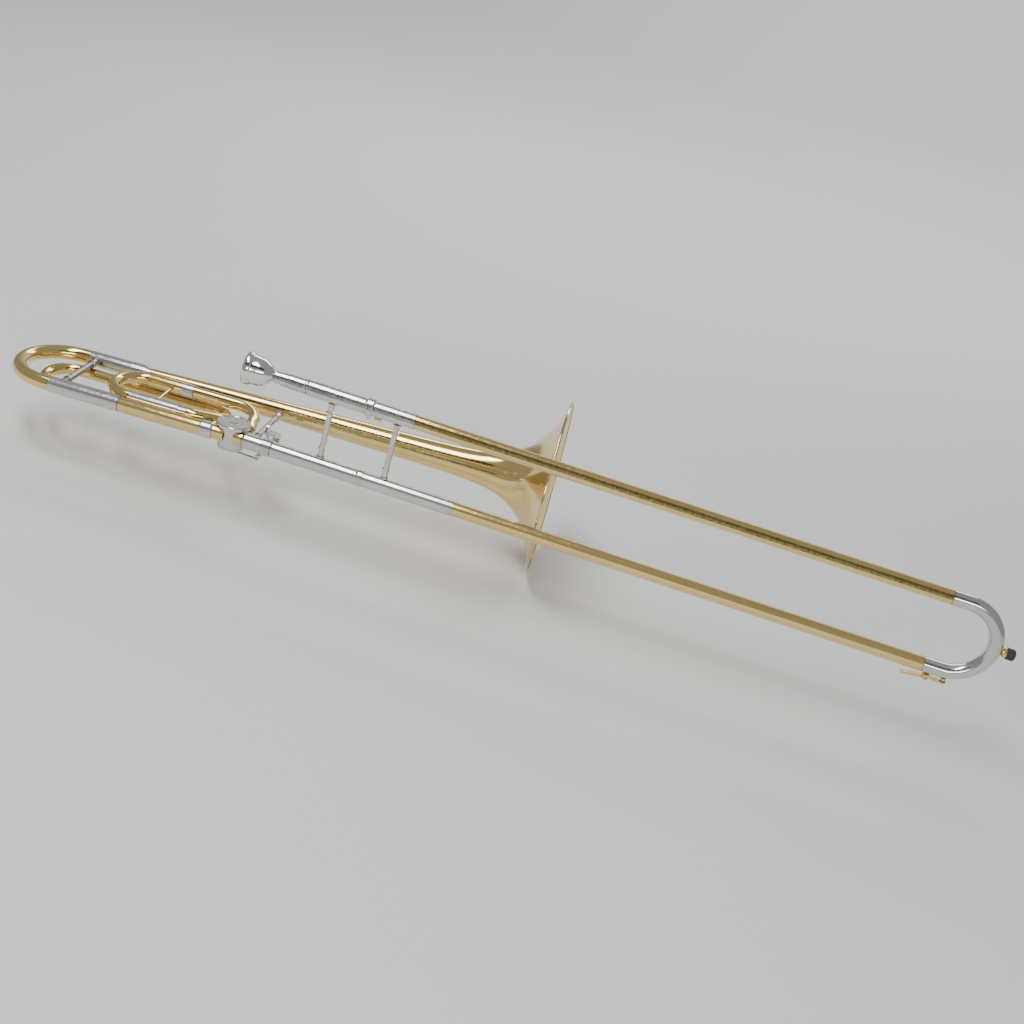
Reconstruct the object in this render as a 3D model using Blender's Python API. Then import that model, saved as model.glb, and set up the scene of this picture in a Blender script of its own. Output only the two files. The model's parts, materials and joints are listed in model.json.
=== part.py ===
"""Tenor trombone with an F attachment, built as separate pieces.

Frame, in metres: the lower hand-slide tube runs along +X, its axis is the X axis, and the origin is where the
neckpipe meets the hand slide. +X points to the slide bow, +Z up to the mouthpiece side, +Y to the bell.
"""

import bpy
import bmesh
from math import atan2, cos, exp, pi, radians, sin, sqrt
from mathutils import Vector

for old in list(bpy.data.objects):
    bpy.data.objects.remove(old, do_unlink=True)

MM = 0.001
SIDES = 18
BEND_STEPS = 8
GAP = 0.4 * MM

# hand slide
SLIDE_SPACING = 86.0 * MM
BORE = 6.6 * MM
INNER_TUBE = 7.1 * MM
OUTER_BORE = 7.75 * MM
OUTER_TUBE = 8.3 * MM
GRIP_SLEEVE = 9.0 * MM
BARREL = 9.1 * MM
BARREL_BORE = 7.5 * MM
RECEIVER = 9.3 * MM
RECEIVER_X = 3.2 * MM
RECEIVER_END_X = 25.5 * MM
NUT_END_X = 36.0 * MM
NUT = 10.4 * MM
BARREL_END_X = 131.0 * MM
LOWER_BARREL_END_X = 139.0 * MM
MOUTH_BARREL_X = 62.4 * MM
RING_X = 135.7 * MM
LOWER_RING_END_X = 146.0 * MM
SLEEVE_X = 141.5 * MM
UPPER_SLEEVE_END_X = 188.0 * MM
LOWER_SLEEVE_END_X = 252.0 * MM
BOW_LEG_X = 798.0 * MM
BOW_X = 818.0 * MM
BOW_TUBE = 8.6 * MM
INNER_BRACE_X = 93.0 * MM
OUTER_BRACE_X = 169.0 * MM
INNER_TUBE_END_X = 790.0 * MM

# bell section, tilted up from the slide by BELL_PITCH
BELL_PITCH = radians(2.2)
BELL_Y = 104.0 * MM
NECK_TUBE = 8.4 * MM
NECK_BORE = 7.0 * MM
TUNING_SLEEVE = 9.5 * MM
TUNING_END_X = -213.0 * MM
TUNING_CROOK_X = -231.0 * MM
CROOK_CENTRE_X = -238.0 * MM
NECK_SLEEVE_END_X = -147.0 * MM
BELL_SLEEVE_END_X = -179.0 * MM
BELL_FERRULE_END_X = -154.0 * MM
FERRULE_X = -49.0 * MM
FERRULE_END_X = -34.0 * MM
BELL_LENGTH = 499.0 * MM
RIM_BEAD = 1.7 * MM
BELL_TAIL = 8.0 * MM
BELL_TAPER = 0.0245
BELL_YAW = radians(1.3)
FLARE_RISE = 82.3 * MM
FLARE_LENGTH = 26.0 * MM
BELL_WALL = 0.8 * MM
BELL_SIDES = 40
BELL_STEPS = 18

# F attachment tubes: (Y, Z) of each straight leg
F_TUBE = 6.9 * MM
F_BORE = 6.2 * MM
F_OUTER = 7.8 * MM
F_OUTER_BORE = 7.25 * MM
LEG_PORT = (29.0 * MM, -16.5 * MM)
LEG_UPPER = (85.0 * MM, -12.0 * MM)
LEG_SLIDE_NEAR = (18.0 * MM, 4.0 * MM)
LEG_SLIDE_FAR = (77.0 * MM, 6.0 * MM)
PORT_X = -58.0 * MM
F_REAR_X = -235.0 * MM
F_FRONT_X = -73.0 * MM
F_SLIDE_X = -144.0 * MM
F_NEAR_END_X = -83.0 * MM
F_FAR_END_X = -104.0 * MM
F_RETURN_X = -88.0 * MM
F_BRACE_X = -114.0 * MM

# rotary valve
VALVE = Vector((-14.0 * MM, 9.0 * MM, 0.0))
CASING = 15.5 * MM
CASING_BORE = 14.1 * MM
CASING_LOW = -14.0 * MM
CASING_HIGH = 9.0 * MM
ROTOR = 13.6 * MM
REAR_PORT_TURN = 140
FRONT_PORT_TURN = 62
STOP_RADIUS = 11.0 * MM
STOP_TURN = 135
ARM_TOP = -19.0 * MM
ARM_BOTTOM = -21.0 * MM
BUMPER_RADIUS = 8.0 * MM
LINK_Z = -23.6 * MM
LINK_BALL = 2.2 * MM
PIVOT = Vector((26.0 * MM, 50.0 * MM, -20.0 * MM))
LEVER_PIN = (-7.8 * MM, -39.2 * MM)
PADDLE = (-5.0 * MM, -20.0 * MM)
PADDLE_HEIGHTS = (24.0 * MM, 28.0 * MM)

# braces and water key
KEY_TURN = radians(8)
KEY_PIVOT = Vector((806.0 * MM, 0, -13.0 * MM))
BRACE_X = 12.5 * MM
BRACE = 3.5 * MM

BRASS = ("lacquered_brass", (0.80, 0.60, 0.25), 0.16, 1.0)
NICKEL = ("nickel_silver", (0.72, 0.71, 0.69), 0.17, 1.0)
DARK_NICKEL = ("dark_nickel", (0.42, 0.40, 0.37), 0.3, 1.0)
CHROME = ("chromed_tube", (0.80, 0.81, 0.83), 0.08, 1.0)
SILVER = ("silver_plate", (0.83, 0.82, 0.80), 0.10, 1.0)
STEEL = ("spring_steel", (0.55, 0.56, 0.58), 0.3, 1.0)
RUBBER = ("black_rubber", (0.03, 0.03, 0.03), 0.7, 0.0)
CORK = ("cork", (0.55, 0.38, 0.22), 0.9, 0.0)


def material(spec):
    name, colour, roughness, metallic = spec
    found = bpy.data.materials.get(name)
    if found:
        return found
    made = bpy.data.materials.new(name)
    made.use_nodes = True
    shader = made.node_tree.nodes["Principled BSDF"]
    shader.inputs["Base Color"].default_value = (*colour, 1.0)
    shader.inputs["Roughness"].default_value = roughness
    shader.inputs["Metallic"].default_value = metallic
    return made


def add_object(name, bm, spec, parent=None):
    bmesh.ops.recalc_face_normals(bm, faces=bm.faces)
    mesh = bpy.data.meshes.new(name)
    bm.to_mesh(mesh)
    bm.free()
    mesh.shade_smooth()
    mesh.set_sharp_from_angle(angle=radians(35))
    made = bpy.data.objects.new(name, mesh)
    made.data.materials.append(material(spec))
    bpy.context.scene.collection.objects.link(made)
    made.parent = parent
    return made


def empty(name, location=(0, 0, 0), rotation=(0, 0, 0), parent=None):
    made = bpy.data.objects.new(name, None)
    made.location = location
    made.rotation_euler = rotation
    made.parent = parent
    bpy.context.scene.collection.objects.link(made)
    return made


def skin(bm, rings, loop):
    """Joins rings of equal size one to the next; a ring of one point closes the shape as a fan."""
    made = [[bm.verts.new(p) for p in ring] for ring in rings]
    pairs = list(zip(made, made[1:]))
    if loop:
        pairs.append((made[-1], made[0]))
    for first, second in pairs:
        count = max(len(first), len(second))
        for i in range(count):
            j = (i + 1) % count
            if len(first) == 1:
                bm.faces.new((first[0], second[i], second[j]))
            elif len(second) == 1:
                bm.faces.new((first[i], first[j], second[0]))
            else:
                bm.faces.new((first[i], first[j], second[j], second[i]))


def circle(centre, across, up, radius, sides):
    if radius == 0:
        return [centre.copy()]
    turns = [2 * pi * i / sides for i in range(sides)]
    return [centre + across * (radius * cos(t)) + up * (radius * sin(t)) for t in turns]


def frame_for(direction):
    """Two unit vectors square to the direction."""
    seed = Vector((0, 0, 1)) if abs(direction.z) < 0.9 else Vector((0, 1, 0))
    across = direction.cross(seed).normalized()
    return across, across.cross(direction).normalized()


def turned(name, profile, spec, base=(0, 0, 0), direction=(1, 0, 0), parent=None, sides=SIDES):
    """A turned piece. The profile is (distance along the axis, radius); it is a closed ring of points,
    or runs
    from the axis back to the axis."""
    direction = Vector(direction).normalized()
    across, up = frame_for(direction)
    base = Vector(base)
    rings = [circle(base + direction * along, across, up, radius, sides) for along, radius in profile]
    bm = bmesh.new()
    skin(bm, rings, loop=profile[0][1] > 0)
    return add_object(name, bm, spec, parent)


def pipe(name, start, end, outer, bore, spec, y=0.0, z=0.0, parent=None, sides=SIDES):
    """A straight tube along X."""
    profile = [(start, outer), (end, outer), (end, bore), (start, bore)]
    return turned(name, profile, spec, base=(0, y, z), parent=parent, sides=sides)


def swept(name, path, outer, bore, spec, parent=None, sides=SIDES):
    """A bent tube along a path of points. It starts and ends with one straight stretch."""
    points = [Vector(p) for p in path]
    tangents = []
    for i in range(len(points)):
        before = points[max(i - 1, 0)]
        after = points[min(i + 1, len(points) - 1)]
        tangents.append((after - before).normalized())
    if len(points) > 3:
        tangents[1] = tangents[0]
        tangents[-2] = tangents[-1]
    across, up = frame_for(tangents[0])
    frames = [(across, up)]
    for before, after in zip(tangents, tangents[1:]):
        turn = before.rotation_difference(after)
        across = turn @ across
        up = turn @ up
        frames.append((across, up))
    outside = [circle(p, a, u, outer, sides) for p, (a, u) in zip(points, frames)]
    inside = [circle(p, a, u, bore, sides) for p, (a, u) in zip(points, frames)]
    bm = bmesh.new()
    skin(bm, outside + inside[::-1], loop=True)
    return add_object(name, bm, spec, parent)


def half_turn(leg_a, leg_b, x, side, lead=GAP):
    """The path of a U bend from one leg to the other, bulging to side (-1 rear, +1 front), with straight
    leads."""
    a = Vector((0, *leg_a))
    b = Vector((0, *leg_b))
    middle = (a + b) / 2
    reach = (b - a).length / 2
    outward = (a - b).normalized()
    turns = [pi * i / BEND_STEPS for i in range(BEND_STEPS + 1)]
    points = [middle + outward * (reach * cos(t)) + Vector((x + side * reach * sin(t), 0, 0)) for t in turns]
    shift = Vector((-side * lead, 0, 0))
    return [points[0] + shift] + points + [points[-1] + shift]


def block(name, low, high, spec, parent=None, bevel=0.0):
    bm = bmesh.new()
    bmesh.ops.create_cube(bm, size=1.0)
    low = Vector(low)
    high = Vector(high)
    size = high - low
    bmesh.ops.scale(bm, vec=size, verts=bm.verts)
    bmesh.ops.translate(bm, vec=(low + high) / 2, verts=bm.verts)
    if bevel:
        bmesh.ops.bevel(bm, geom=bm.edges[:], offset=bevel, segments=2, profile=0.5, affect="EDGES")
    return add_object(name, bm, spec, parent)


def plate(name, outline, low, high, axis, spec, parent=None):
    """An outline extruded along an axis from low to high; the outline's points leave that axis out."""
    spots = {"X": lambda p, h: (h, p[0], p[1]), "Y": lambda p, h: (p[0], h, p[1]), "Z": lambda p, h: (p[0], p[1], h)}
    place = spots[axis]
    bm = bmesh.new()
    bottom = [bm.verts.new(place(p, low)) for p in outline]
    face = bm.faces.new(bottom)
    moved = bmesh.ops.extrude_face_region(bm, geom=[face])
    grown = [item for item in moved["geom"] if isinstance(item, bmesh.types.BMVert)]
    shift = Vector(place((0, 0), high)) - Vector(place((0, 0), low))
    bmesh.ops.translate(bm, vec=shift, verts=grown)
    return add_object(name, bm, spec, parent)


def round_link(a, radius_a, b, radius_b, steps=8):
    """The outline round two circles: a strap with round ends."""
    heading = atan2(b[1] - a[1], b[0] - a[0])
    points = []
    for i in range(steps + 1):
        turn = heading + pi / 2 + pi * i / steps
        points.append((a[0] + radius_a * cos(turn), a[1] + radius_a * sin(turn)))
    for i in range(steps + 1):
        turn = heading - pi / 2 + pi * i / steps
        points.append((b[0] + radius_b * cos(turn), b[1] + radius_b * sin(turn)))
    return points


def cut(target, cutter):
    cutter.hide_render = True
    cutter.display_type = "WIRE"
    boolean = target.modifiers.new("cut_" + cutter.name, "BOOLEAN")
    boolean.operation = "DIFFERENCE"
    boolean.object = cutter


def unite(target, piece):
    piece.hide_render = True
    piece.display_type = "WIRE"
    boolean = target.modifiers.new("unite_" + piece.name, "BOOLEAN")
    boolean.operation = "UNION"
    boolean.object = piece


def wire(name, path, radius, spec, parent=None, sides=8):
    """A solid wire along a path of points."""
    points = [Vector(p) for p in path]
    direction = (points[1] - points[0]).normalized()
    across, up = frame_for(direction)
    rings = [[points[0]]]
    for i, point in enumerate(points):
        after = (points[min(i + 1, len(points) - 1)] - points[max(i - 1, 0)]).normalized()
        turn = direction.rotation_difference(after)
        across = turn @ across
        up = turn @ up
        direction = after
        rings.append(circle(point, across, up, radius, sides))
    rings.append([points[-1]])
    bm = bmesh.new()
    skin(bm, rings, loop=False)
    return add_object(name, bm, spec, parent)


def rod(name, start, end, radius, spec, parent=None, sides=SIDES):
    start = Vector(start)
    run = Vector(end) - start
    profile = [(0, 0), (0, radius), (run.length, radius), (run.length, 0)]
    return turned(name, profile, spec, base=start, direction=run, parent=parent, sides=sides)


def flanged_brace(name, start, end, spec, parent=None, thick=3.4 * MM):
    """A cross brace: a tube with a collar near each end and a flared foot against each tube that it joins."""
    start = Vector(start)
    run = Vector(end) - start
    length = run.length
    half = [(0, 1.2), (1.2, 1.2), (3.0, 0.2), (9.5, -0.3), (10.4, 1.2), (12.4, 1.2), (13.2, 0)]
    half = [(along * MM, thick + more * MM) for along, more in half]
    mirrored = [(length - along, radius) for along, radius in half[::-1]]
    profile = [(0, 0)] + half + mirrored + [(length, 0)]
    return turned(name, profile, spec, base=start, direction=run, parent=parent, sides=16)


def bell_radius(along):
    """The bell widens slowly from its tail, then opens as an exponential flare near the rim."""
    return BELL_TAIL + BELL_TAPER * along + FLARE_RISE * exp((along - BELL_LENGTH) / FLARE_LENGTH)


def build_bell(parent):
    """The bell leans away from the slide by BELL_YAW, so that the slide's ring passes the rim."""
    stations = [GAP + (BELL_LENGTH - GAP) * (1 - (1 - i / BELL_STEPS) ** 2.2) for i in range(BELL_STEPS + 1)]
    outer = [(along, bell_radius(along)) for along in stations]
    inner = []
    for before, here, after in zip([outer[0]] + outer, outer, outer[1:] + [outer[-1]]):
        slope = (after[1] - before[1]) / (after[0] - before[0])
        spread = sqrt(1 + slope * slope)
        inner.append((here[0] + BELL_WALL * slope / spread, here[1] - BELL_WALL / spread))
    inner[0] = (GAP, outer[0][1] - BELL_WALL)
    centre = BELL_LENGTH - 0.3 * MM
    centre_radius = bell_radius(BELL_LENGTH) + 0.4 * MM
    bead = []
    for degrees in (-60, -10, 40, 90, 140):
        turn = radians(degrees)
        bead.append((centre + RIM_BEAD * sin(turn), centre_radius + RIM_BEAD * cos(turn)))
    profile = outer[:-1] + bead + inner[:-1][::-1]
    base = (BELL_FERRULE_END_X, BELL_Y, 0)
    heading = (cos(BELL_YAW), sin(BELL_YAW), 0)
    turned("bell", profile, BRASS, base=base, direction=heading, parent=parent, sides=BELL_SIDES)


def build_neck(parent):
    """The fixed tubes of the bell section's main line."""
    bore = TUNING_SLEEVE - 1.0 * MM
    pipe("gooseneck_sleeve", TUNING_END_X, NECK_SLEEVE_END_X, TUNING_SLEEVE, bore, NICKEL, parent=parent)
    profile = [
        (TUNING_END_X, TUNING_SLEEVE),
        (BELL_SLEEVE_END_X, TUNING_SLEEVE),
        (BELL_SLEEVE_END_X + 1 * MM, 10.2 * MM),
        (BELL_FERRULE_END_X - 6 * MM, 9.8 * MM),
        (BELL_FERRULE_END_X, 8.5 * MM),
        (BELL_FERRULE_END_X, NECK_BORE),
        (BELL_SLEEVE_END_X, NECK_BORE),
        (BELL_SLEEVE_END_X, bore),
        (TUNING_END_X, bore),
    ]
    turned("bell_sleeve", profile, NICKEL, base=(0, BELL_Y, 0), parent=parent)
    pipe("gooseneck", NECK_SLEEVE_END_X + GAP, FERRULE_X, NECK_TUBE, NECK_BORE, BRASS, parent=parent)
    profile = [
        (FERRULE_X + GAP, 9.0 * MM),
        (FERRULE_X + 2 * MM, 9.8 * MM),
        (FERRULE_END_X - 2 * MM, 9.8 * MM),
        (FERRULE_END_X, 9.0 * MM),
        (FERRULE_END_X, NECK_BORE),
        (FERRULE_X + GAP, NECK_BORE),
    ]
    turned("gooseneck_ferrule", profile, NICKEL, parent=parent)
    casing_cutter = rod(
        "knuckle_cutter",
        VALVE + Vector((0, 0, -30 * MM)),
        VALVE + Vector((0, 0, 30 * MM)),
        CASING + GAP,
        NICKEL,
        parent=parent,
        sides=48,
    )
    rear = pipe(
        "gooseneck_knuckle", FERRULE_END_X + GAP, -20 * MM, NECK_TUBE, NECK_BORE, BRASS, parent=parent
    )
    front = pipe("receiver_knuckle", -8 * MM, 2.4 * MM, NECK_TUBE, NECK_BORE, BRASS, parent=parent)
    cut(rear, casing_cutter)
    cut(front, casing_cutter)
    return casing_cutter


def leg(name, start, end, at, outer, bore, spec, parent):
    return pipe(name, start, end, outer, bore, spec, y=at[0], z=at[1], parent=parent)


def bezier(a, b, c, d, steps):
    ts = [i / steps for i in range(steps + 1)]
    return [a * (1 - t) ** 3 + b * (3 * t * (1 - t) ** 2) + c * (3 * t * t * (1 - t)) + d * t**3 for t in ts]


def radial(degrees, distance, z=0.0):
    """A point on a line out from the valve's axis."""
    turn = radians(degrees)
    return VALVE + Vector((distance * cos(turn), distance * sin(turn), z))


def build_f_wrap(parent, casing_cutter):
    """The F attachment: from the valve's rear port to the rear crook, forward, round the front crook,
    along the
    F tuning slide and back to the valve's front port."""
    port = Vector((PORT_X, *LEG_PORT))
    ring_start = radial(REAR_PORT_TURN, 10 * MM, -4.6 * MM)
    ring_end = radial(REAR_PORT_TURN, 21 * MM, -8.0 * MM)
    knuckle = swept("f_rear_knuckle", [ring_start, ring_end], F_OUTER, F_BORE, NICKEL, parent)
    cut(knuckle, casing_cutter)
    heading = (ring_end - ring_start).normalized()
    tube_start = ring_end + heading * GAP
    bend_start = tube_start + heading * 1.5 * MM
    path = [tube_start] + bezier(
        bend_start, bend_start + heading * 9 * MM, port + Vector((12 * MM, 0, 0)), port, 9
    )
    path.append(Vector((F_REAR_X + 2 * GAP, *LEG_PORT)))
    swept("f_port_tube", path, F_TUBE, F_BORE, BRASS, parent)
    swept("f_rear_crook", half_turn(LEG_PORT, LEG_UPPER, F_REAR_X, -1), F_TUBE, F_BORE, BRASS, parent)
    leg("f_upper_tube", F_REAR_X + 2 * GAP, F_FRONT_X - 2 * GAP, LEG_UPPER, F_TUBE, F_BORE, BRASS, parent)
    swept("f_front_crook", half_turn(LEG_UPPER, LEG_SLIDE_NEAR, F_FRONT_X, 1), F_TUBE, F_BORE, BRASS, parent)
    inner_start = F_SLIDE_X + 2 * MM
    leg("f_near_inner_tube", inner_start, F_FRONT_X - 2 * GAP, LEG_SLIDE_NEAR, F_TUBE, F_BORE, NICKEL, parent)
    ferrule = [
        (inner_start, F_TUBE),
        (F_FAR_END_X + GAP, F_TUBE),
        (F_FAR_END_X + GAP, F_OUTER),
        (F_RETURN_X, F_OUTER),
        (F_RETURN_X, F_BORE),
        (inner_start, F_BORE),
    ]
    turned("f_far_inner_tube", ferrule, NICKEL, base=(0, *LEG_SLIDE_FAR), parent=parent)
    start = Vector((F_RETURN_X + GAP, *LEG_SLIDE_FAR))
    corner = Vector((-34 * MM, *LEG_SLIDE_FAR))
    down = Vector((-5 * MM, 50 * MM, 2 * MM))
    ring_start = radial(FRONT_PORT_TURN, 10 * MM)
    ring_end = radial(FRONT_PORT_TURN, 22.5 * MM)
    heading = (ring_end - ring_start).normalized()
    tube_end = ring_end + heading * GAP
    bend_end = tube_end + heading * 1.5 * MM
    arc = bezier(corner, corner + Vector((16 * MM, 0, 0)), down + Vector((0, 15 * MM, 1.5 * MM)), down, 9)
    run_in = bezier(down, down - Vector((0, 7 * MM, 0.7 * MM)), bend_end + heading * 5 * MM, bend_end, 5)
    swept("f_return_tube", [start] + arc + run_in[1:] + [tube_end], F_TUBE, F_BORE, BRASS, parent)
    knuckle = swept("f_front_knuckle", [ring_start, ring_end], F_OUTER, F_BORE, NICKEL, parent)
    cut(knuckle, casing_cutter)


def build_f_slide(parent):
    near = LEG_SLIDE_NEAR
    far = LEG_SLIDE_FAR
    crook = half_turn(near, far, F_SLIDE_X, -1)
    swept("f_slide_crook", crook, F_TUBE + 0.1 * MM, F_BORE, BRASS, parent)
    leg("f_slide_near_leg", F_SLIDE_X + 2 * GAP, F_NEAR_END_X, near, F_OUTER, F_OUTER_BORE, NICKEL, parent)
    leg("f_slide_far_leg", F_SLIDE_X + 2 * GAP, F_FAR_END_X, far, F_OUTER, F_OUTER_BORE, BRASS, parent)
    start = Vector((F_BRACE_X, near[0], near[1]))
    end = Vector((F_BRACE_X, far[0], far[1]))
    along = (end - start).normalized()
    clear = F_OUTER + GAP
    low = start + along * clear
    high = end - along * clear
    length = (high - low).length
    half = [(0, 3.4), (1.2, 3.4), (2.4, 1.9)]
    half = [(a * MM, r * MM) for a, r in half]
    profile = [(0, 0)] + half + [(length - a, r) for a, r in half[::-1]] + [(length, 0)]
    turned("f_slide_brace", profile, BRASS, base=low, direction=high - low, parent=parent, sides=16)


def build_tuning_slide(parent):
    end = TUNING_END_X - GAP
    for name, y in (("tuning_neck_leg", 0.0), ("tuning_bell_leg", BELL_Y)):
        profile = [
            (TUNING_CROOK_X, 9.2 * MM),
            (end, 9.2 * MM),
            (end, 8.1 * MM),
            (-160 * MM if y == 0 else -184 * MM, 8.1 * MM),
            (-160 * MM if y == 0 else -184 * MM, NECK_BORE),
            (TUNING_CROOK_X, NECK_BORE),
        ]
        turned(name, profile, NICKEL, base=(0, y, 0), parent=parent)
    crook = half_turn((0, 0), (BELL_Y, 0), CROOK_CENTRE_X, -1, lead=TUNING_CROOK_X - CROOK_CENTRE_X - GAP)
    swept("tuning_crook", crook, NECK_TUBE + 0.1 * MM, NECK_BORE, BRASS, parent)
    start = (-221 * MM, 9.2 * MM + GAP, 1.0 * MM)
    end = (-221 * MM, BELL_Y - 9.2 * MM - GAP, 1.0 * MM)
    flanged_brace("tuning_brace", start, end, DARK_NICKEL, parent, thick=4.0 * MM)


def build_valve(fixed, rotor):
    casing_profile = [
        (CASING_LOW, CASING),
        (CASING_HIGH, CASING),
        (CASING_HIGH, CASING_BORE),
        (CASING_LOW, CASING_BORE),
    ]
    casing = turned(
        "valve_casing", casing_profile, NICKEL, base=VALVE, direction=(0, 0, 1), parent=fixed, sides=32
    )
    ports = [
        ("port_cutter_rear", Vector((-20 * MM, 0, 0)), Vector((-40 * MM, 0, 0)), NECK_BORE),
        ("port_cutter_front", Vector((-8 * MM, 0, 0)), Vector((10 * MM, 0, 0)), NECK_BORE),
        ("port_cutter_f_rear", radial(REAR_PORT_TURN, 9 * MM, -4.3 * MM), radial(REAR_PORT_TURN, 25 * MM, -9.2 * MM), F_BORE),
        ("port_cutter_f_front", radial(FRONT_PORT_TURN, 9 * MM), radial(FRONT_PORT_TURN, 25 * MM), F_BORE),
    ]
    for name, start, end, radius in ports:
        cut(casing, rod(name, start, end, radius, NICKEL, parent=fixed))
    cap = [(9.4, 0), (9.4, 18.8), (10.0, 19.5), (13.4, 19.5), (14.4, 18.6), (14.4, 16.4), (13.8, 15.8), (13.8, 5.6)]
    cap += [(14.8, 4.8), (14.8, 0)]
    cap = [(a * MM, r * MM) for a, r in cap]
    turned("valve_cap", cap, NICKEL, base=VALVE, direction=(0, 0, 1), parent=fixed, sides=40)
    plate_profile = [(-14.4, 15.5), (-14.4, 3.6), (-17.0, 3.6), (-17.0, 15.0), (-16.4, 15.5)]
    plate_profile = [(a * MM, r * MM) for a, r in plate_profile]
    turned("valve_back_plate", plate_profile, NICKEL, base=VALVE, direction=(0, 0, 1), parent=fixed, sides=32)
    for name, degrees in (("stop_bumper_rest", 352), ("stop_bumper_pressed", 188)):
        spot = radial(degrees, BUMPER_RADIUS, -17.3 * MM)
        rod(name, spot, spot + Vector((0, 0, -3.9 * MM)), 1.8 * MM, CORK, parent=fixed, sides=12)

    profile = [(-22.6, 0), (-22.6, 2.4), (-22.0, 3.0), (-13.4, 3.0)]
    profile = [(a * MM, r * MM) for a, r in profile]
    profile += [(-13.4 * MM, ROTOR), (8.4 * MM, ROTOR), (8.4 * MM, 0)]
    body = turned("valve_rotor", profile, BRASS, direction=(0, 0, 1), parent=rotor, sides=32)
    through = [
        ("rotor_cutter_main", -VALVE.y, NECK_BORE),
        ("rotor_cutter_f", 9.0 * MM, 5.0 * MM),
    ]
    for name, y, radius in through:
        cut(body, rod(name, (-20 * MM, y, 0), (20 * MM, y, 0), radius, BRASS, parent=rotor))
    tip = (STOP_RADIUS * cos(radians(STOP_TURN)), STOP_RADIUS * sin(radians(STOP_TURN)))
    arm = plate(
        "stop_arm", round_link((0, 0), 5.0 * MM, tip, 3.0 * MM), ARM_BOTTOM, ARM_TOP, "Z", NICKEL, rotor
    )
    tail = (-0.55 * tip[0], -0.55 * tip[1])
    tail_union = plate(
        "arm_tail_union", round_link((0, 0), 4.0 * MM, tail, 3.0 * MM), ARM_BOTTOM, ARM_TOP, "Z",
    
                       NICKEL, rotor)
    unite(arm, tail_union)
    hole = rod(
        "stop_arm_cutter", (0, 0, -30 * MM), (0, 0, -10 * MM), 3.4 * MM, NICKEL, parent=rotor, sides=16
    )
    cut(arm, hole)


def build_trigger(fixed, lever):
    """The thumb trigger turns about a post that hangs from the bell brace, and its rod turns the rotor."""
    top = -BRACE - GAP
    foot = top - 3.0 * MM
    ends = ((BRACE_X, PIVOT.y), (PIVOT.x, PIVOT.y))
    saddle = plate(
        "trigger_saddle", round_link(ends[0], 5.0 * MM, ends[1], 4.6 * MM), foot, top, "Z", NICKEL, fixed
    )
    post = rod("post_union", (*ends[1], -18.6 * MM), (*ends[1], top - 1 * MM), 3.2 * MM, NICKEL, fixed)
    unite(saddle, post)
    cut(saddle, rod("post_cutter", (*ends[1], -30 * MM), (*ends[1], -12 * MM), 2.1 * MM, NICKEL, fixed))
    screw = [(-24.2, 0), (-24.2, 3.0), (-23.6, 3.8), (-21.6, 3.8), (-21.6, 1.7), (-13.0, 1.7), (-13.0, 0)]
    screw = [(a * MM, r * MM) for a, r in screw]
    turned("trigger_screw", screw, NICKEL, base=(*ends[1], 0), direction=(0, 0, 1), parent=fixed, sides=16)
    turns = [2 * pi * i / 12 for i in range(49)]
    coil = [
        Vector((PIVOT.x + 4.3 * MM * cos(t), PIVOT.y + 4.3 * MM * sin(t), foot - 1.2 * MM - 0.38 * MM * t))
        for t in turns
    ]
    wire("trigger_spring", coil, 0.5 * MM, STEEL, fixed)

    arm = plate("trigger_lever", round_link((0, 0), 4.8 * MM, LEVER_PIN, 2.8 * MM), -1.0 * MM, 1.0 * MM, "Z", NICKEL, lever)
    stalk = block(
        "stalk_union",
        (PADDLE[0] - 1.3 * MM, PADDLE[1] - 3.0 * MM, -0.8 * MM),
        (PADDLE[0] + 1.3 * MM, PADDLE[1] + 3.0 * MM, PADDLE_HEIGHTS[0]),
        NICKEL,
        parent=lever,
    )
    low, high = ((PADDLE[1], height) for height in PADDLE_HEIGHTS)
    pad = plate(
        "pad_union",
        round_link(low, 5.6 * MM, high, 5.6 * MM),
        PADDLE[0] - 2.0 * MM,
        PADDLE[0] + 0.6 * MM,
        "X",
        NICKEL,
        lever,
    )
    unite(arm, stalk)
    unite(arm, pad)
    cut(arm, rod("hub_cutter", (0, 0, -9 * MM), (0, 0, 9 * MM), 2.1 * MM, NICKEL, parent=lever))


def build_link(link):
    """The rod from the trigger's arm to the stop arm, with a ball at each end."""
    base = Vector((PIVOT.x + LEVER_PIN[0], PIVOT.y + LEVER_PIN[1], LINK_Z))
    run = radial(STOP_TURN, STOP_RADIUS, LINK_Z) - base
    ball = []
    for degrees in (35, 65, 90, 115, 145):
        turn = radians(degrees)
        ball.append((-LINK_BALL * cos(turn), LINK_BALL * sin(turn)))
    far_ball = [(run.length - along, radius) for along, radius in ball[::-1]]
    profile = [(-LINK_BALL, 0)] + ball + far_ball + [(run.length + LINK_BALL, 0)]
    turned("link_rod", profile, NICKEL, direction=run, parent=link, sides=12)


def build_bell_brace(parent):
    start = Vector((BRACE_X, RECEIVER + GAP, 0))
    along = BRACE_X - BELL_FERRULE_END_X
    bell_y = BELL_Y + along * sin(BELL_YAW)
    end = Vector((BRACE_X, bell_y - bell_radius(along) - 2 * GAP, 0))
    flanged_brace("bell_brace", start, end, NICKEL, parent, thick=BRACE)


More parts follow.
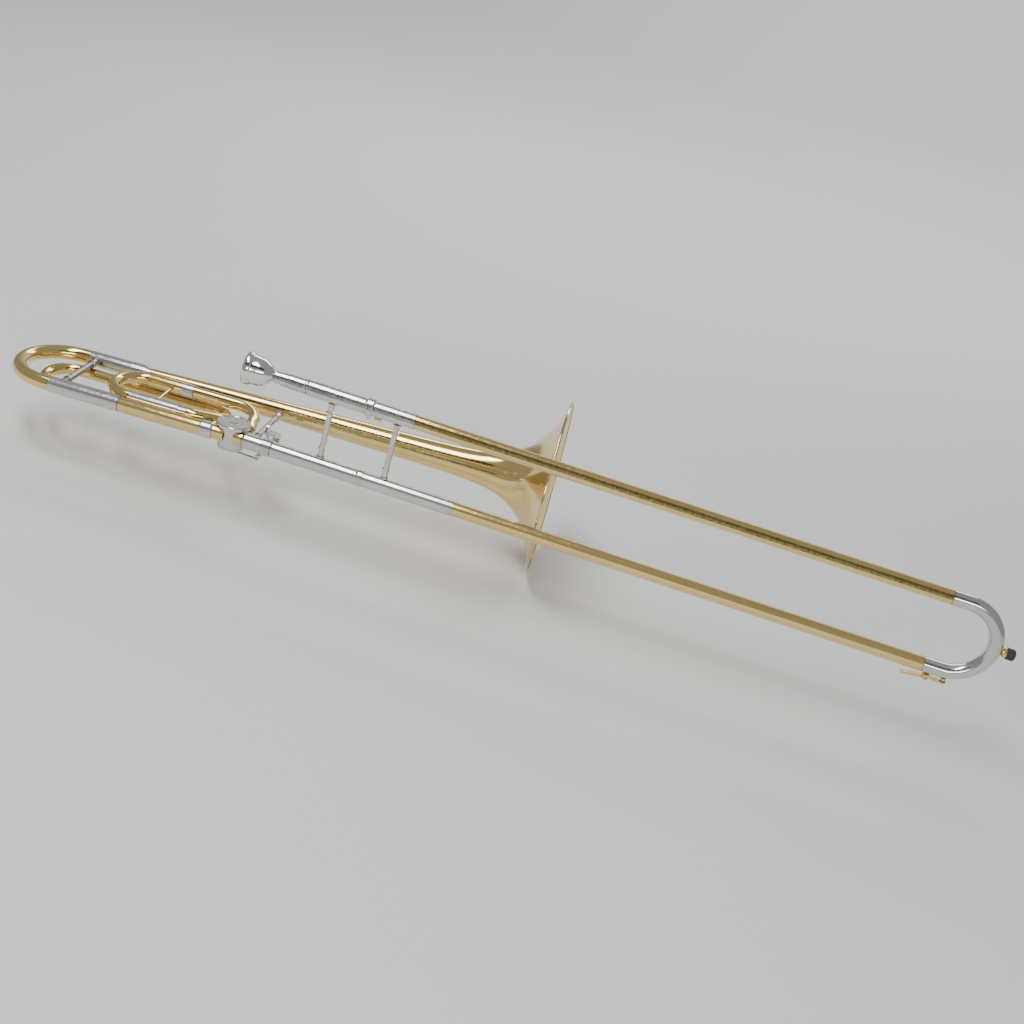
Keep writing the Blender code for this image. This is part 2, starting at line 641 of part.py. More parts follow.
def build_inner_slide():
    """The receiver, cork barrels, inner tubes and inner brace, with the mouthpiece receiver on the upper
    tube."""
    profile = [
        (RECEIVER_X, 8.7 * MM),
        (RECEIVER_X + 1.6 * MM, RECEIVER),
        (RECEIVER_END_X, RECEIVER),
        (RECEIVER_END_X, NECK_BORE),
        (RECEIVER_X, NECK_BORE),
    ]
    turned("slide_receiver", profile, NICKEL)
    top = SLIDE_SPACING
    barrels = (
        ("lower", NUT_END_X + GAP, LOWER_BARREL_END_X, RECEIVER_END_X + GAP, 0.0),
        ("upper", MOUTH_BARREL_X, BARREL_END_X, MOUTH_BARREL_X, top),
    )
    for name, start, end, tube_start, z in barrels:
        profile = [
            (start, BARREL - 0.5 * MM),
            (start + 1.5 * MM, BARREL),
            (end - 1.5 * MM, BARREL),
            (end, BARREL - 0.5 * MM),
            (end, BARREL_BORE),
            (start, BARREL_BORE),
        ]
        turned(name + "_cork_barrel", profile, NICKEL, base=(0, 0, z))
        pipe(name + "_inner_tube", tube_start, INNER_TUBE_END_X, INNER_TUBE, BORE, CHROME, z=z)
    mouth = [
        (24.5, 7.1), (31.4, 7.1), (32.0, 7.7), (40.4, 7.7), (41.0, 8.3), (59.0, 8.3), (60.5, 8.7),
        (62.0, 8.7), (62.0, 6.6), (24.5, 6.6),
    ]
    mouth = [(a * MM, r * MM) for a, r in mouth]
    turned("mouthpiece_receiver", mouth, NICKEL, base=(0, 0, top))
    start = (INNER_BRACE_X, 0, BARREL + GAP)
    end = (INNER_BRACE_X, 0, top - BARREL - GAP)
    flanged_brace("inner_brace", start, end, NICKEL)


def build_lock_nut():
    start = RECEIVER_END_X + GAP
    profile = [(start, 9.6 * MM)]
    ridges = 5
    width = (NUT_END_X - start) / ridges
    for i in range(ridges):
        left = start + width * i
        profile += [(left + width * 0.25, NUT), (left + width * 0.75, NUT)]
        if i < ridges - 1:
            profile += [(left + width, NUT - 0.5 * MM)]
    profile += [(NUT_END_X, 9.6 * MM), (NUT_END_X, BARREL_BORE), (start, BARREL_BORE)]
    turned("bell_lock_nut", profile, NICKEL)


def build_lock_ring(parent):
    """The ring that turns past the upper barrel's end to hold the closed slide, with its thumb stud."""
    profile = [
        (-4.2 * MM, 10.2 * MM),
        (-3.2 * MM, 11.0 * MM),
        (3.2 * MM, 11.0 * MM),
        (4.2 * MM, 10.2 * MM),
        (4.2 * MM, BARREL_BORE),
        (-4.2 * MM, BARREL_BORE),
    ]
    ring = turned("slide_lock_ring", profile, NICKEL, parent=parent)
    stud = rod("stud_union", (0, 0, -9 * MM), (0, 0, -14.0 * MM), 1.8 * MM, NICKEL, parent=parent, sides=12)
    unite(ring, stud)


def build_outer_slide():
    top = SLIDE_SPACING
    ring = [
        (LOWER_BARREL_END_X + GAP, 9.8 * MM),
        (LOWER_BARREL_END_X + 1.2 * MM, 10.3 * MM),
        (LOWER_RING_END_X - 0.8 * MM, 10.3 * MM),
        (LOWER_RING_END_X, GRIP_SLEEVE),
        (LOWER_SLEEVE_END_X, GRIP_SLEEVE),
        (LOWER_SLEEVE_END_X, OUTER_BORE),
        (LOWER_BARREL_END_X + GAP, OUTER_BORE),
    ]
    turned("lower_grip_sleeve", ring, NICKEL)
    pipe("upper_grip_sleeve", SLEEVE_X, UPPER_SLEEVE_END_X, GRIP_SLEEVE, OUTER_BORE, NICKEL, z=top)
    end = BOW_LEG_X - GAP
    pipe("upper_outer_tube", UPPER_SLEEVE_END_X + GAP, end, OUTER_TUBE, OUTER_BORE, BRASS, z=top)
    pipe("lower_outer_tube", LOWER_SLEEVE_END_X + GAP, end, OUTER_TUBE, OUTER_BORE, BRASS)
    path = half_turn((0, 0), (0, top), BOW_X, 1, lead=BOW_X - BOW_LEG_X)
    swept("end_bow", path, BOW_TUBE, BORE, NICKEL)
    base = Vector((BOW_X + top / 2 + BOW_TUBE, 0, top / 2))
    socket = [(0.3, 0), (0.3, 4.4), (1.4, 5.4), (3.9, 6.2), (4.5, 6.2), (4.5, 0)]
    socket = [(a * MM, r * MM) for a, r in socket]
    turned("bumper_socket", socket, BRASS, base=base)
    bumper = [(4.8, 0), (4.8, 6.2), (5.6, 6.6), (12.6, 6.6), (14.4, 5.2), (14.4, 0)]
    bumper = [(a * MM, r * MM) for a, r in bumper]
    turned("bow_bumper", bumper, RUBBER, base=base)
    start = (OUTER_BRACE_X, 0, GRIP_SLEEVE + GAP)
    end = (OUTER_BRACE_X, 0, top - GRIP_SLEEVE - GAP)
    flanged_brace("outer_brace", start, end, NICKEL)
    low = (SLEEVE_X + 0.6 * MM, -2.4 * MM, top - GRIP_SLEEVE - 3.4 * MM)
    high = (SLEEVE_X + 10.5 * MM, 2.4 * MM, top - GRIP_SLEEVE - 0.3 * MM)
    block("lock_catch", low, high, BRASS, bevel=0.6 * MM)


def build_water_key(lever):
    """The drain under the bow: a nipple, and a sprung lever whose cork pad shuts it."""
    centre = Vector((BOW_X, 0, SLIDE_SPACING / 2))
    outward = Vector((sin(KEY_TURN), 0, -cos(KEY_TURN)))
    wall = centre + outward * (SLIDE_SPACING / 2 + BOW_TUBE + GAP)
    nipple = [(0, 3.4), (2.8, 2.8), (2.8, 1.4), (0, 1.4)]
    nipple = [(a * MM, r * MM) for a, r in nipple]
    turned("water_key_nipple", nipple, BRASS, base=wall, direction=outward, sides=16)
    low = (KEY_PIVOT.x - 3.2 * MM, -5.4 * MM, KEY_PIVOT.z - 2.6 * MM)
    high = (KEY_PIVOT.x + 3.2 * MM, 5.4 * MM, -BOW_TUBE - 2 * GAP)
    saddle = block("water_key_saddle", low, high, BRASS)
    low = (KEY_PIVOT.x - 8 * MM, -3.1 * MM, KEY_PIVOT.z - 8 * MM)
    high = (KEY_PIVOT.x + 8 * MM, 3.1 * MM, -BOW_TUBE - 2.0 * MM)
    cut(saddle, block("slot_cutter", low, high, BRASS))
    run = Vector((0, 8 * MM, 0))
    cut(saddle, rod("pin_cutter", KEY_PIVOT - run, KEY_PIVOT + run, 1.4 * MM, BRASS, sides=12))
    pad = wall + outward * 5.3 * MM - KEY_PIVOT
    arm = plate(
        "water_key_lever", round_link(
            (-26 * MM, -4.0 * MM), 1.2 * MM, (0, 0), 2.1 * MM
        ), -2.6 * MM, 2.6 * MM, "Y", BRASS, lever
    )
    reach = round_link((0, 0), 1.9 * MM, (pad.x, pad.z - 0.8 * MM), 0.9 * MM)
    unite(arm, plate("arm_union", reach, -2.0 * MM, 2.0 * MM, "Y", BRASS, lever))
    run = Vector((0, 5.2 * MM, 0))
    unite(arm, rod("pin_union", -run, run, 1.0 * MM, BRASS, parent=lever, sides=12))
    unite(arm, rod("cup_union", pad - outward * 0.6 * MM, pad + outward * 1.2 * MM, 3.6 * MM, BRASS, lever, sides=16))
    rod("water_key_cork", pad - outward * 1.0 * MM, pad - outward * 2.1 * MM, 3.2 * MM, CORK, lever, sides=16)


def build_mouthpiece(parent):
    """A cup mouthpiece with a rounded rim, a throat and a tapered shank that plugs into the receiver."""
    outside = [
        (-10.4, 13.8), (-11.0, 15.6), (-10.4, 17.4), (-8.6, 18.6), (-5.8, 19.0), (-3.4, 18.6), (-2.2, 17.4),
        (-1.0, 16.9), (2.0, 16.5), (8.0, 16.0), (14.0, 14.0), (19.0, 10.0), (22.5, 6.2), (24.3, 5.0),
        (27.0, 6.1), (58.0, 5.5),
    ]
    inside = [(58.0, 4.8), (32.0, 3.6), (22.0, 3.5), (16.0, 5.0), (9.0, 9.6), (3.0, 12.0), (-4.0, 12.7), (-8.8, 12.8)]
    profile = [(a * MM, r * MM) for a, r in outside + inside]
    turned("mouthpiece", profile, SILVER, parent=parent, sides=28)


def main():
    bell_frame = empty("bell_frame", rotation=(0, -BELL_PITCH, 0))
    rotor = empty("rotor_frame", location=VALVE, parent=bell_frame)
    lever = empty("trigger_frame", location=PIVOT, parent=bell_frame)
    ball = (PIVOT.x + LEVER_PIN[0], PIVOT.y + LEVER_PIN[1], LINK_Z)
    link = empty("link_frame", location=ball, parent=bell_frame)
    key = empty("water_key_frame", location=KEY_PIVOT)
    ring = empty("lock_ring_frame", location=(RING_X, 0, SLIDE_SPACING))
    mouth = empty("mouthpiece_frame", location=(0, 0, SLIDE_SPACING))

    build_bell(bell_frame)
    casing_cutter = build_neck(bell_frame)
    build_f_wrap(bell_frame, casing_cutter)
    build_f_slide(bell_frame)
    build_tuning_slide(bell_frame)
    build_valve(bell_frame, rotor)
    build_trigger(bell_frame, lever)
    build_link(link)
    build_bell_brace(bell_frame)
    build_inner_slide()
    build_lock_nut()
    build_lock_ring(ring)
    build_outer_slide()
    build_water_key(key)
    build_mouthpiece(mouth)


main()
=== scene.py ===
"""The looks of the trombone: finer bell, crooks and mouthpiece, lacquer and plating, and a pale studio."""

import bmesh
import bpy
import json
from math import cos, exp, pi, radians, sin, sqrt
from mathutils import Matrix, Vector

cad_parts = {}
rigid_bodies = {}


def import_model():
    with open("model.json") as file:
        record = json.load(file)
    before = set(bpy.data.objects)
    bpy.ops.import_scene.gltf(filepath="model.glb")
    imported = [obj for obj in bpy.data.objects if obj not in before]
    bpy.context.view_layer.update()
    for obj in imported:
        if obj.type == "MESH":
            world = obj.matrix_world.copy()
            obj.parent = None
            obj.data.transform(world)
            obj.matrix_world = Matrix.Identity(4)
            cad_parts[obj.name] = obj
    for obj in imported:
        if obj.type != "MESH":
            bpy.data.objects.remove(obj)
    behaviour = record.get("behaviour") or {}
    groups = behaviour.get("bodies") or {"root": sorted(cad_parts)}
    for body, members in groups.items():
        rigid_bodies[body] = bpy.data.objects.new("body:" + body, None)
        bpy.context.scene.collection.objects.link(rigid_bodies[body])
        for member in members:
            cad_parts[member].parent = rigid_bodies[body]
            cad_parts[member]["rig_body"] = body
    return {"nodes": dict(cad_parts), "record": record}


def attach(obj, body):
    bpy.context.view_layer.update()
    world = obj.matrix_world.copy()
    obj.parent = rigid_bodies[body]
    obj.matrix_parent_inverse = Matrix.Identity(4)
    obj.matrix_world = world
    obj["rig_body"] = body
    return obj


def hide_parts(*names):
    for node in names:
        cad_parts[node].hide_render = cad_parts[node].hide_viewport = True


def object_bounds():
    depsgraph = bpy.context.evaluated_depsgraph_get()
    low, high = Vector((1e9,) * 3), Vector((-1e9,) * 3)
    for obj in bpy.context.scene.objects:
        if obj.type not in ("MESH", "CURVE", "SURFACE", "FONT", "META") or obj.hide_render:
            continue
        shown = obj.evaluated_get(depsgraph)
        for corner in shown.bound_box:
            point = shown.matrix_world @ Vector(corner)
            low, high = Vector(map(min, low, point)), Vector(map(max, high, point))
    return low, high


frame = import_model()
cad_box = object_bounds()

MM = 0.001
FINE = 64
BEND_STEPS = 40
BELL_STEPS = 90
SHARP_ANGLE = radians(40)
SLIDE_SPACING = 86.0 * MM
GAP = 0.4 * MM

# the same stations as the CAD, in millimetres along the bell section, which is tilted by BELL_PITCH
BELL_PITCH = radians(2.2)
BELL_YAW = radians(1.3)
BELL_Y = 104.0 * MM
BELL_START = Vector((-154.0 * MM, BELL_Y, 0.0))
BELL_LENGTH = 499.0 * MM
BELL_TAIL = 8.0 * MM
BELL_TAPER = 0.0245
FLARE_RISE = 82.3 * MM
FLARE_LENGTH = 26.0 * MM
BELL_WALL = 0.8 * MM
RIM_BEAD = 1.7 * MM
BEAD_OFFSET = 0.3 * MM
BEAD_TURNS = range(-60, 150, 15)
RIM_CROWDING = 2.2
CROOK_CENTRE_X = -238.0 * MM
CROOK_END_X = -231.4 * MM
NECK_TUBE = 8.5 * MM
NECK_BORE = 7.0 * MM
BOW_X = 818.0 * MM
BOW_LEG_X = 798.0 * MM
BOW_TUBE = 8.6 * MM
BOW_BORE = 6.6 * MM
F_TUBE = 6.9 * MM
F_BORE = 6.2 * MM
LEG_PORT = (29.0 * MM, -16.5 * MM)
LEG_UPPER = (85.0 * MM, -12.0 * MM)
LEG_SLIDE_NEAR = (18.0 * MM, 4.0 * MM)
LEG_SLIDE_FAR = (77.0 * MM, 6.0 * MM)
F_REAR_X = -235.0 * MM
F_FRONT_X = -73.0 * MM
F_SLIDE_X = -144.0 * MM
F_RETURN_X = -88.0 * MM
VALVE = Vector((-14.0 * MM, 9.0 * MM, 0.0))
FRONT_PORT_TURN = 62
KNUCKLE_END = 22.5 * MM
RETURN_CORNER_X = -34.0 * MM
RETURN_LOW = Vector((-5.0 * MM, 50.0 * MM, 2.0 * MM))

# the camera's view: a turn about the target, a height, and a roll of the frame
TARGET = Vector((0.3178, 0.0, 0.0191))
VIEW_AZIMUTH = radians(3.79)
VIEW_ELEVATION = radians(24.92)
VIEW_ROLL = radians(16.59)
VIEW_DISTANCE = 1.5815
LENS = 50.0
SENSOR_WIDTH = 36.0
CLIP_START = 0.02
CLIP_END = 60.0

PITCH = Matrix.Rotation(-BELL_PITCH, 4, "Y")

# the metal's surface: how fine its colour drifts, handling marks and buffing waves are
DRIFT_SCALE = 14.0
MARKS_SCALE = 260.0
WAVES_SCALE = 70.0
WAVES_STRENGTH = 0.25
COAT_ROUGHNESS = 0.04
GRAIN_STRENGTH = 0.6

# the studio
PAPER = (0.78, 0.78, 0.77)
DARK = (0.02, 0.02, 0.02)
SKY = (0.75, 0.76, 0.78)
SKY_STRENGTH = 0.45


# ---------------------------------------------------------------- materials


def new_material(name, colour, metallic, roughness):
    made = bpy.data.materials.new(name)
    made.use_nodes = True
    shader = made.node_tree.nodes["Principled BSDF"]
    shader.inputs["Base Color"].default_value = (*colour, 1.0)
    shader.inputs["Metallic"].default_value = metallic
    shader.inputs["Roughness"].default_value = roughness
    return made, made.node_tree, shader


def noise(tree, scale, detail):
    place = tree.nodes.new("ShaderNodeTexCoord")
    texture = tree.nodes.new("ShaderNodeTexNoise")
    texture.inputs["Scale"].default_value = scale
    texture.inputs["Detail"].default_value = detail
    tree.links.new(place.outputs["Object"], texture.inputs["Vector"])
    return texture


def ramp(tree, source, low, high, from_low=0.35, from_high=0.65):
    mapped = tree.nodes.new("ShaderNodeMapRange")
    mapped.inputs["From Min"].default_value = from_low
    mapped.inputs["From Max"].default_value = from_high
    mapped.inputs["To Min"].default_value = low
    mapped.inputs["To Max"].default_value = high
    tree.links.new(source, mapped.inputs["Value"])
    return mapped.outputs["Result"]


def tint(tree, shader, source, first, second):
    mix = tree.nodes.new("ShaderNodeMix")
    mix.data_type = "RGBA"
    mix.inputs["A"].default_value = (*first, 1.0)
    mix.inputs["B"].default_value = (*second, 1.0)
    tree.links.new(source, mix.inputs["Factor"])
    tree.links.new(mix.outputs["Result"], shader.inputs["Base Color"])


def bump(tree, shader, source, height, strength):
    made = tree.nodes.new("ShaderNodeBump")
    made.inputs["Strength"].default_value = strength
    made.inputs["Distance"].default_value = height
    tree.links.new(source, made.inputs["Height"])
    tree.links.new(made.outputs["Normal"], shader.inputs["Normal"])


def polished(name, first, second, low, high, coat, bump_height):
    """A polished metal, with drifts of colour, handling marks in its roughness, and buffing waves."""
    made, tree, shader = new_material(name, first, 1.0, low)
    drift = noise(tree, DRIFT_SCALE, 3.0)
    tint(tree, shader, ramp(tree, drift.outputs["Fac"], 0.0, 1.0), first, second)
    marks = noise(tree, MARKS_SCALE, 6.0)
    tree.links.new(ramp(tree, marks.outputs["Fac"], low, high), shader.inputs["Roughness"])
    waves = noise(tree, WAVES_SCALE, 2.0)
    bump(tree, shader, waves.outputs["Fac"], bump_height, WAVES_STRENGTH)
    shader.inputs["Coat Weight"].default_value = coat
    shader.inputs["Coat Roughness"].default_value = COAT_ROUGHNESS
    return made


def dull(name, first, second, scale, roughness, height):
    made, tree, shader = new_material(name, first, 0.0, roughness)
    grain = noise(tree, scale, 8.0)
    tint(tree, shader, ramp(tree, grain.outputs["Fac"], 0.0, 1.0), first, second)
    bump(tree, shader, grain.outputs["Fac"], height, GRAIN_STRENGTH)
    return made


MATERIALS = {
    "lacquered_brass": polished(
        "look_brass", (0.83, 0.62, 0.24), (0.79, 0.575, 0.21), 0.10, 0.16, 0.5, 0.00002
    ),
    "nickel_silver": polished(
        "look_nickel", (0.70, 0.69, 0.66), (0.60, 0.59, 0.57), 0.14, 0.24, 0.2, 0.00004
    ),
    "dark_nickel": polished(
        "look_dark_nickel", (0.38, 0.36, 0.33), (0.28, 0.26, 0.23), 0.24, 0.36, 0.0, 0.00004
    ),
    "chromed_tube": polished(
        "look_chrome", (0.78, 0.79, 0.80), (0.72, 0.73, 0.74), 0.06, 0.12, 0.0, 0.00002
    ),
    "silver_plate": polished(
        "look_silver", (0.80, 0.79, 0.76), (0.70, 0.68, 0.64), 0.09, 0.17, 0.0, 0.00003
    ),
    "spring_steel": polished(
        "look_steel", (0.50, 0.50, 0.52), (0.40, 0.40, 0.42), 0.22, 0.32, 0.0, 0.00002
    ),
    "black_rubber": dull(
        "look_rubber", (0.018, 0.018, 0.018), (0.035, 0.034, 0.032), 900.0, 0.62, 0.00008
    ),
    "cork": dull("look_cork", (0.42, 0.27, 0.14), (0.20, 0.12, 0.06), 1200.0, 0.9, 0.0002),
}


def dress_cad_nodes():
    slots = {part["node"]: part["material_slot"] for part in frame["record"]["subparts"]}
    for name, node in frame["nodes"].items():
        node.data.materials.clear()
        node.data.materials.append(MATERIALS[slots[name]])


# ---------------------------------------------------------------- shapes


def skin(rings, loop):
    bm = bmesh.new()
    made = [[bm.verts.new(p) for p in ring] for ring in rings]
    pairs = list(zip(made, made[1:]))
    if loop:
        pairs.append((made[-1], made[0]))
    for first, second in pairs:
        for i in range(len(first)):
            j = (i + 1) % len(first)
            bm.faces.new((first[i], first[j], second[j], second[i]))
    bmesh.ops.recalc_face_normals(bm, faces=bm.faces)
    return bm


def circle(centre, across, up, radius):
    turns = [2 * pi * i / FINE for i in range(FINE)]
    return [centre + across * (radius * cos(t)) + up * (radius * sin(t)) for t in turns]


def square_to(direction):
    seed = Vector((0, 0, 1)) if abs(direction.z) < 0.9 else Vector((0, 1, 0))
    across = direction.cross(seed).normalized()
    return across, across.cross(direction).normalized()


def link(made):
    bpy.context.scene.collection.objects.link(made)


def piece(name, bm, node, slot, pitched):
    """Puts a finer mesh in the CAD node's place, on the same body and with the same finish."""
    mesh = bpy.data.meshes.new(name)
    bm.to_mesh(mesh)
    bm.free()
    mesh.shade_smooth()
    mesh.set_sharp_from_angle(angle=SHARP_ANGLE)
    if pitched:
        mesh.transform(PITCH)
    made = bpy.data.objects.new(name, mesh)
    made.data.materials.append(MATERIALS[slot])
    link(made)
    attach(made, frame["nodes"][node]["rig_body"])
    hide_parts(node)
    return made


def lathe(node, profile, slot, base, direction, pitched):
    direction = Vector(direction).normalized()
    across, up = square_to(direction)
    rings = [circle(base + direction * along, across, up, radius) for along, radius in profile]
    return piece("fine_" + node, skin(rings, loop=True), node, slot, pitched)


def sweep(node, path, outer, bore, slot, pitched):
    tangents = []
    for i in range(len(path)):
        before = path[max(i - 1, 0)]
        after = path[min(i + 1, len(path) - 1)]
        tangents.append((after - before).normalized())
    tangents[1] = tangents[0]
    tangents[-2] = tangents[-1]
    across, up = square_to(tangents[0])
    frames = [(across, up)]
    for before, after in zip(tangents, tangents[1:]):
        turn = before.rotation_difference(after)
        across = turn @ across
        up = turn @ up
        frames.append((across, up))
    outside = [circle(p, a, u, outer) for p, (a, u) in zip(path, frames)]
    inside = [circle(p, a, u, bore) for p, (a, u) in zip(path, frames)]
    return piece("fine_" + node, skin(outside + inside[::-1], loop=True), node, slot, pitched)


def half_turn(leg_a, leg_b, x, side, lead=GAP):
    a = Vector((0, *leg_a))
    b = Vector((0, *leg_b))
    middle = (a + b) / 2
    reach = (b - a).length / 2
    outward = (a - b).normalized()
    turns = [pi * i / BEND_STEPS for i in range(BEND_STEPS + 1)]
    points = [middle + outward * (reach * cos(t)) + Vector((x + side * reach * sin(t), 0, 0)) for t in turns]
    shift = Vector((-side * lead, 0, 0))
    return [points[0] + shift] + points + [points[-1] + shift]


def bezier(a, b, c, d, steps):
    ts = [i / steps for i in range(steps + 1)]
    return [a * (1 - t) ** 3 + b * (3 * t * (1 - t) ** 2) + c * (3 * t * t * (1 - t)) + d * t**3 for t in ts]


# ---------------------------------------------------------------- finer pieces


def bell_radius(along):
    return BELL_TAIL + BELL_TAPER * along + FLARE_RISE * exp((along - BELL_LENGTH) / FLARE_LENGTH)


def build_bell():
    outer = []
    inner = []
    for i in range(BELL_STEPS + 1):
        along = GAP + (BELL_LENGTH - GAP) * (1 - (1 - i / BELL_STEPS) ** RIM_CROWDING)
        slope = BELL_TAPER + FLARE_RISE / FLARE_LENGTH * exp((along - BELL_LENGTH) / FLARE_LENGTH)
        spread = sqrt(1 + slope * slope)
        outer.append((along, bell_radius(along)))
        inner.append((along + BELL_WALL * slope / spread, bell_radius(along) - BELL_WALL / spread))
    inner[0] = (GAP, outer[0][1] - BELL_WALL)
    centre = BELL_LENGTH - BEAD_OFFSET
    centre_radius = bell_radius(BELL_LENGTH) + BEAD_OFFSET
    bead = []
    for degrees in BEAD_TURNS:
        turn = radians(degrees)
        bead.append((centre + RIM_BEAD * sin(turn), centre_radius + RIM_BEAD * cos(turn)))
    heading = (cos(BELL_YAW), sin(BELL_YAW), 0)
    profile = outer[:-1] + bead + inner[:-1][::-1]
    lathe("bell", profile, "lacquered_brass", BELL_START, heading, True)


def build_crooks():
    path = half_turn((0, 0), (BELL_Y, 0), CROOK_CENTRE_X, -1, lead=CROOK_END_X - CROOK_CENTRE_X)
    sweep("tuning_crook", path, NECK_TUBE, NECK_BORE, "lacquered_brass", True)
    path = half_turn((0, 0), (0, SLIDE_SPACING), BOW_X, 1, lead=BOW_X - BOW_LEG_X)
    sweep("end_bow", path, BOW_TUBE, BOW_BORE, "nickel_silver", False)
    path = half_turn(LEG_PORT, LEG_UPPER, F_REAR_X, -1)
    sweep("f_rear_crook", path, F_TUBE, F_BORE, "lacquered_brass", True)
    path = half_turn(LEG_UPPER, LEG_SLIDE_NEAR, F_FRONT_X, 1)
    sweep("f_front_crook", path, F_TUBE, F_BORE, "lacquered_brass", True)
    path = half_turn(LEG_SLIDE_NEAR, LEG_SLIDE_FAR, F_SLIDE_X, -1)
    sweep("f_slide_crook", path, F_TUBE + 0.1 * MM, F_BORE, "lacquered_brass", True)


def build_return_tube():
    start = Vector((F_RETURN_X + GAP, *LEG_SLIDE_FAR))
    corner = Vector((RETURN_CORNER_X, *LEG_SLIDE_FAR))
    down = RETURN_LOW
    turn = radians(FRONT_PORT_TURN)
    heading = Vector((cos(turn), sin(turn), 0))
    tube_end = VALVE + heading * (KNUCKLE_END + GAP)
    bend_end = tube_end + heading * 1.5 * MM
    arc = bezier(corner, corner + Vector((16 * MM, 0, 0)), down + Vector((0, 15 * MM, 1.5 * MM)), down, 30)
    run_in = bezier(down, down - Vector((0, 7 * MM, 0.7 * MM)), bend_end + heading * 5 * MM, bend_end, 16)
    path = [start] + arc + run_in[1:] + [tube_end]
    sweep("f_return_tube", path, F_TUBE, F_BORE, "lacquered_brass", True)


def smooth_profile(points, repeats=3):
    """Rounds a profile by a Catmull-Rom curve through its points."""
    made = []
    count = len(points)
    for i in range(count):
        a, b, c, d = (Vector((*points[(i + k) % count], 0)) for k in (-1, 0, 1, 2))
        for k in range(repeats):
            t = k / repeats
            spot = (
                b * 2 + (c - a) * t + (a * 2 - b * 5 + c * 4 - d) * t * t + (b * 3 - a - c * 3 + d) * t**3
            ) / 2
            made.append((spot.x, spot.y))
    return made


def build_mouthpiece():
    outside = [
        (-10.4, 13.8), (-11.0, 15.6), (-10.4, 17.4), (-8.6, 18.6), (-5.8, 18.9), (-3.4, 18.5), (-2.2, 17.4),
        (-1.0, 16.9), (2.0, 16.5), (8.0, 15.9), (14.0, 13.9), (19.0, 9.9), (22.5, 6.2), (24.3, 5.1),
        (27.0, 6.0), (57.0, 5.5),
    ]
    inside = [
        (57.0, 4.8), (32.0, 3.6), (22.0, 3.5), (16.0, 5.0), (9.0, 9.6), (3.0, 12.0),
        (-4.0, 12.7), (-8.8, 12.8),
    ]
    profile = smooth_profile([(a * MM, r * MM) for a, r in outside + inside])
    lathe("mouthpiece", profile, "silver_plate", Vector((0, 0, SLIDE_SPACING)), (1, 0, 0), False)


# ---------------------------------------------------------------- studio


def plain(name, colour, roughness):
    made, _, _ = new_material(name, colour, 0.0, roughness)
    return made


def build_backdrop():
    """A pale floor that curves up into a wall behind the object."""
    low = cad_box[0].z - 0.4 * MM
    front = -6.0
    turn_y = 5.0
    radius = 3.0
    wall_height = 9.0
    half_width = 12.0
    curve_steps = 24
    profile = [(front, low), (turn_y, low)]
    for i in range(1, curve_steps + 1):
        turn = pi / 2 * i / curve_steps
        profile.append((turn_y + radius * sin(turn), low + radius * (1 - cos(turn))))
    profile.append((turn_y + radius, low + wall_height))
    bm = bmesh.new()
    left = [bm.verts.new((-half_width, y, z)) for y, z in profile]
    right = [bm.verts.new((half_width, y, z)) for y, z in profile]
    for i in range(len(profile) - 1):
        bm.faces.new((left[i], right[i], right[i + 1], left[i + 1]))
    mesh = bpy.data.meshes.new("backdrop")
    bm.to_mesh(mesh)
    bm.free()
    mesh.shade_smooth()
    made = bpy.data.objects.new("backdrop", mesh)
    made.data.materials.append(plain("studio_paper", PAPER, 0.85))
    link(made)


def face_towards(made, location, aim, axis):
    made.location = location
    made.rotation_mode = "QUATERNION"
    made.rotation_quaternion = (aim - Vector(location)).to_track_quat(axis, "Y")


def card(name, centre, size, colour):
    """A card out of the camera's sight, for the metal to reflect."""
    bm = bmesh.new()
    bmesh.ops.create_grid(bm, x_segments=1, y_segments=1, size=0.5)
    bmesh.ops.scale(bm, vec=(size[0], size[1], 1), verts=bm.verts)
    mesh = bpy.data.meshes.new(name)
    bm.to_mesh(mesh)
    bm.free()
    made = bpy.data.objects.new(name, mesh)
    made.data.materials.append(plain(name + "_paper", colour, 0.9))
    face_towards(made, centre, TARGET, "Z")
    made.visible_camera = False
    made.visible_shadow = False
    made.visible_diffuse = False
    link(made)


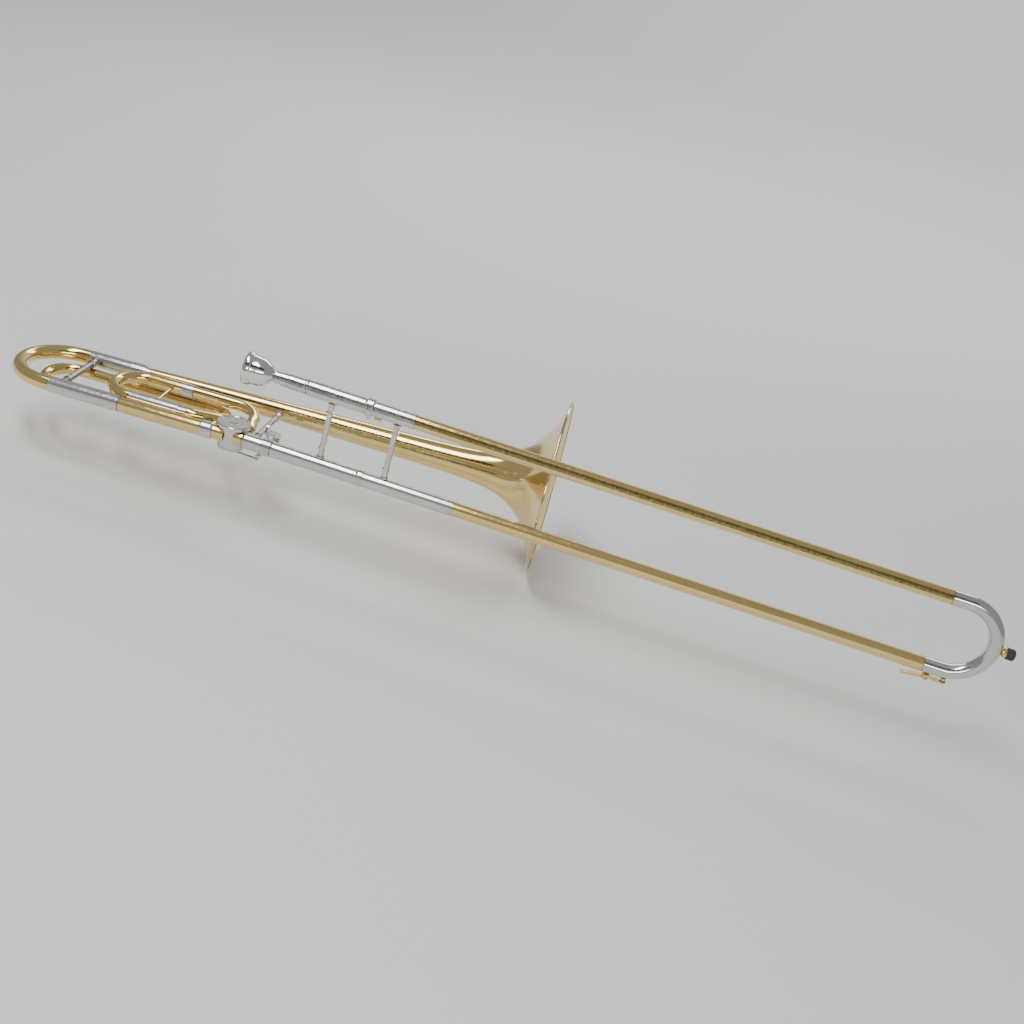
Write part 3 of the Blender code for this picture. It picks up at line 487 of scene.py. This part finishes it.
def area_light(name, location, size, power, aim=TARGET):
    data = bpy.data.lights.new(name, "AREA")
    data.shape = "RECTANGLE"
    data.size, data.size_y = size
    data.energy = power
    made = bpy.data.objects.new(name, data)
    face_towards(made, location, aim, "-Z")
    link(made)


def build_lights():
    area_light("key_light", (-0.6, -0.6, 2.6), (2.4, 0.7), 55.0)
    area_light("front_light", (0.9, -2.6, 0.9), (2.2, 0.5), 26.0)
    area_light("back_light", (0.4, 2.4, 1.8), (2.6, 0.6), 26.0)
    area_light("wall_light", (1.5, 3.0, 3.5), (4.0, 1.5), 160.0, aim=Vector((1.5, 7.5, 0.5)))
    card("dark_card_high", (0.3, -1.9, 2.1), (3.6, 1.0), DARK)
    card("dark_card_low", (0.3, -2.6, -0.02), (4.0, 0.5), DARK)
    world = bpy.context.scene.world or bpy.data.worlds.new("studio")
    bpy.context.scene.world = world
    world.use_nodes = True
    ground = world.node_tree.nodes["Background"]
    ground.inputs["Color"].default_value = (*SKY, 1.0)
    ground.inputs["Strength"].default_value = SKY_STRENGTH


def build_camera():
    data = bpy.data.cameras.new("photo_camera")
    data.lens = LENS
    data.sensor_width = SENSOR_WIDTH
    data.dof.use_dof = False
    data.clip_start = CLIP_START
    data.clip_end = CLIP_END
    forward = Vector(
        (
            -sin(VIEW_AZIMUTH) * cos(VIEW_ELEVATION),
            cos(VIEW_AZIMUTH) * cos(VIEW_ELEVATION),
            -sin(VIEW_ELEVATION),
        )
    )
    right = forward.cross(Vector((0, 0, 1))).normalized()
    up = right.cross(forward)
    tilted_right = right * cos(VIEW_ROLL) + up * sin(VIEW_ROLL)
    tilted_up = up * cos(VIEW_ROLL) - right * sin(VIEW_ROLL)
    turn = Matrix((tilted_right, tilted_up, -forward)).transposed().to_4x4()
    camera = bpy.data.objects.new("photo_camera", data)
    camera.matrix_world = Matrix.Translation(TARGET - forward * VIEW_DISTANCE) @ turn
    link(camera)
    bpy.context.scene.camera = camera


def main():
    dress_cad_nodes()
    build_bell()
    build_crooks()
    build_return_tube()
    build_mouthpiece()
    build_backdrop()
    build_lights()
    build_camera()
    bpy.context.view_layer.update()


main()
